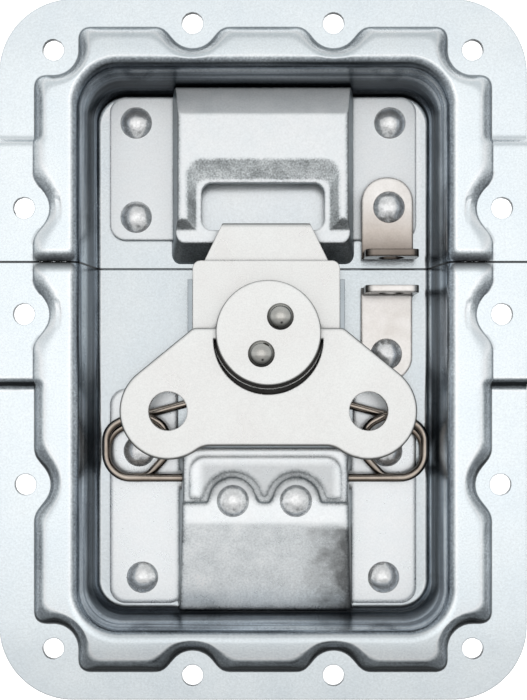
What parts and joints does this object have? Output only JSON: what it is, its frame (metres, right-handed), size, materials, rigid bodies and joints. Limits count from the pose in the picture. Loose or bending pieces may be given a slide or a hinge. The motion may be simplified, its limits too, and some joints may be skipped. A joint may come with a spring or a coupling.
{
  "type": "butterfly case latch",
  "caption": "Recessed butterfly draw latch for a flight case: pressed dish in two halves, keeper, turning folding wing, sliding hook, wire spring and padlock eyelets.",
  "frame": {"origin": "centre of the four corner rivet holes, on the flange's back face", "axes": "+Z out of the case towards the user; +Y along the dish from the turning half towards the keeper half; +X completes the right-handed frame"},
  "size_m": [0.128, 0.17, 0.0193],
  "materials": {
    "zinc_plate": "bright zinc plate on pressed steel",
    "satin_nickel": "satin nickel plate",
    "nickel_eyelet": "warm nickel plate",
    "nickel_rivet": "bright plated rivet steel",
    "polished_steel": "polished steel",
    "plain_steel": "plated steel",
    "spring_steel": "stainless spring wire"
  },
  "bodies": {
    "case_side": {"bracket": "zinc_plate", "bracket_rivet_left_end": "nickel_rivet", "bracket_rivet_left_seam": "nickel_rivet", "bracket_rivet_right_end": "nickel_rivet", "bracket_rivet_right_seam": "nickel_rivet", "keeper_plate": "zinc_plate", "keeper_rivet_left_end": "nickel_rivet", "keeper_rivet_left_seam": "nickel_rivet", "keeper_rivet_right_end": "nickel_rivet", "lower_dish": "zinc_plate", "lower_eyelet": "nickel_eyelet", "lower_eyelet_rivet": "nickel_rivet", "spring_strap": "plain_steel", "tunnel_rivet_left": "nickel_rivet", "tunnel_rivet_right": "nickel_rivet", "upper_dish": "zinc_plate", "upper_eyelet": "nickel_eyelet", "upper_eyelet_rivet": "nickel_rivet", "wire_spring": "spring_steel"},
    "draw": {"guide_channel": "plain_steel", "cover_plate": "satin_nickel"},
    "hook": {"hook_plate": "satin_nickel"},
    "rotor": {"cam_hub": "plain_steel", "hub_washer": "satin_nickel", "rotor_disc": "satin_nickel", "disc_rivet_upper": "polished_steel", "disc_rivet_lower": "polished_steel"},
    "wing": {"wing": "satin_nickel"}
  },
  "joints": [
    {"name": "draw_tilt", "type": "hinge", "parent": "case_side", "child": "draw", "pos_m": [0.0006, -0.032, -0.00815], "axis": [1, 0, 0], "range_deg": [0, 4.5]},
    {"name": "rotor_turn", "type": "hinge", "parent": "draw", "child": "rotor", "pos_m": [0.0013, 0.004, -0.001], "axis": [0, 0, 1], "range_deg": [0, 180]},
    {"name": "hook_slide", "type": "slide", "parent": "draw", "child": "hook", "axis": [0, 1, 0], "range_m": [0, 0.007]},
    {"name": "wing_lift", "type": "hinge", "parent": "rotor", "child": "wing", "pos_m": [0.0013, 0.0038, -0.001], "axis": [-1, 0, 0], "range_deg": [0, 90]}
  ],
  "couplings": [
    {"joint": "draw_tilt", "follows": "rotor_turn", "ratio": 0.025},
    {"joint": "hook_slide", "follows": "rotor_turn", "m_per_rad": 0.002228}
  ]
}
